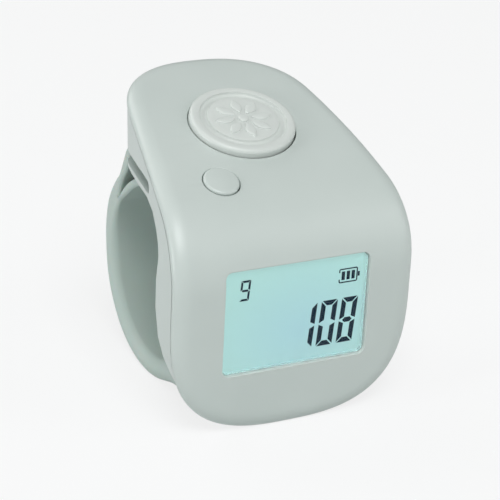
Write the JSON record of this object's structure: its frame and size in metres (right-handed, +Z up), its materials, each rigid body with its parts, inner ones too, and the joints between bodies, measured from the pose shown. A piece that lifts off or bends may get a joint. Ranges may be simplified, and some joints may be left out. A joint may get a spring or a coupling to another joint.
{
  "type": "finger tally counter",
  "caption": "Finger-worn digital tally counter: bent housing with display, round count button, small reset button and soft finger band.",
  "frame": {"origin": "centre of the bounding box at the plane that the counter stands on, under the finger hole", "axes": "+X to the right as the display is read, along the finger; +Y away from the display, to the rear of the band; +Z up, towards the count button"},
  "size_m": [0.029, 0.03, 0.0339],
  "materials": {
    "shell": "satin moulded ABS",
    "button": "satin moulded ABS",
    "band": "soft moulded silicone",
    "lens": "clear acrylic",
    "foam": "closed-cell foam",
    "display": "liquid crystal panel",
    "diffuser": "clear acrylic, white backed",
    "led": "moulded lamp",
    "elastomer": "layered elastomer",
    "board": "solder-masked laminate",
    "chip": "moulded epoxy",
    "steel": "nickel plated",
    "ceramic": "fired ceramic",
    "flex": "polyimide film",
    "black": "moulded",
    "red": "wire sleeve"
  },
  "bodies": {
    "housing": {"front_shell": "shell", "back_shell": "shell", "finger_band": "band", "display_lens": "lens", "display_gasket": "foam", "lcd_panel": "display", "light_guide": "diffuser", "backlight_led_left": "led", "backlight_led_right": "led", "contact_strip": "elastomer", "display_board": "board", "controller_chip": "chip", "crystal": "steel", "capacitor_upper": "ceramic", "capacitor_lower": "ceramic", "board_flex": "flex", "key_board": "board", "count_switch_case": "steel", "reset_switch_case": "steel", "battery_cell": "steel", "battery_lead_red": "red", "battery_lead_black": "black", "charge_board": "board", "charge_flex": "flex", "charge_socket": "steel", "charge_tongue": "black", "screw_low_left": "steel", "screw_low_right": "steel", "screw_rear_left": "steel", "screw_rear_right": "steel"},
    "count_button": {"count_button": "button"},
    "count_plunger": {"count_switch_plunger": "black"},
    "reset_button": {"reset_button": "button"},
    "reset_plunger": {"reset_switch_plunger": "black"}
  },
  "joints": [
    {"name": "count_press", "type": "slide", "parent": "housing", "child": "count_button", "axis": [0, 0.3582, -0.9337], "range_m": [0, 0.0003], "stiffness_N_per_m": 3000},
    {"name": "count_plunger_press", "type": "slide", "parent": "housing", "child": "count_plunger", "axis": [0, 0.3582, -0.9337], "range_m": [0, 0.0003]},
    {"name": "reset_press", "type": "slide", "parent": "housing", "child": "reset_button", "axis": [0, 0.4246, -0.9054], "range_m": [0, 0.0003], "stiffness_N_per_m": 3000},
    {"name": "reset_plunger_press", "type": "slide", "parent": "housing", "child": "reset_plunger", "axis": [0, 0.4246, -0.9054], "range_m": [0, 0.0003]}
  ],
  "couplings": [
    {"joint": "count_plunger_press", "follows": "count_press", "ratio": 1},
    {"joint": "reset_plunger_press", "follows": "reset_press", "ratio": 1}
  ]
}
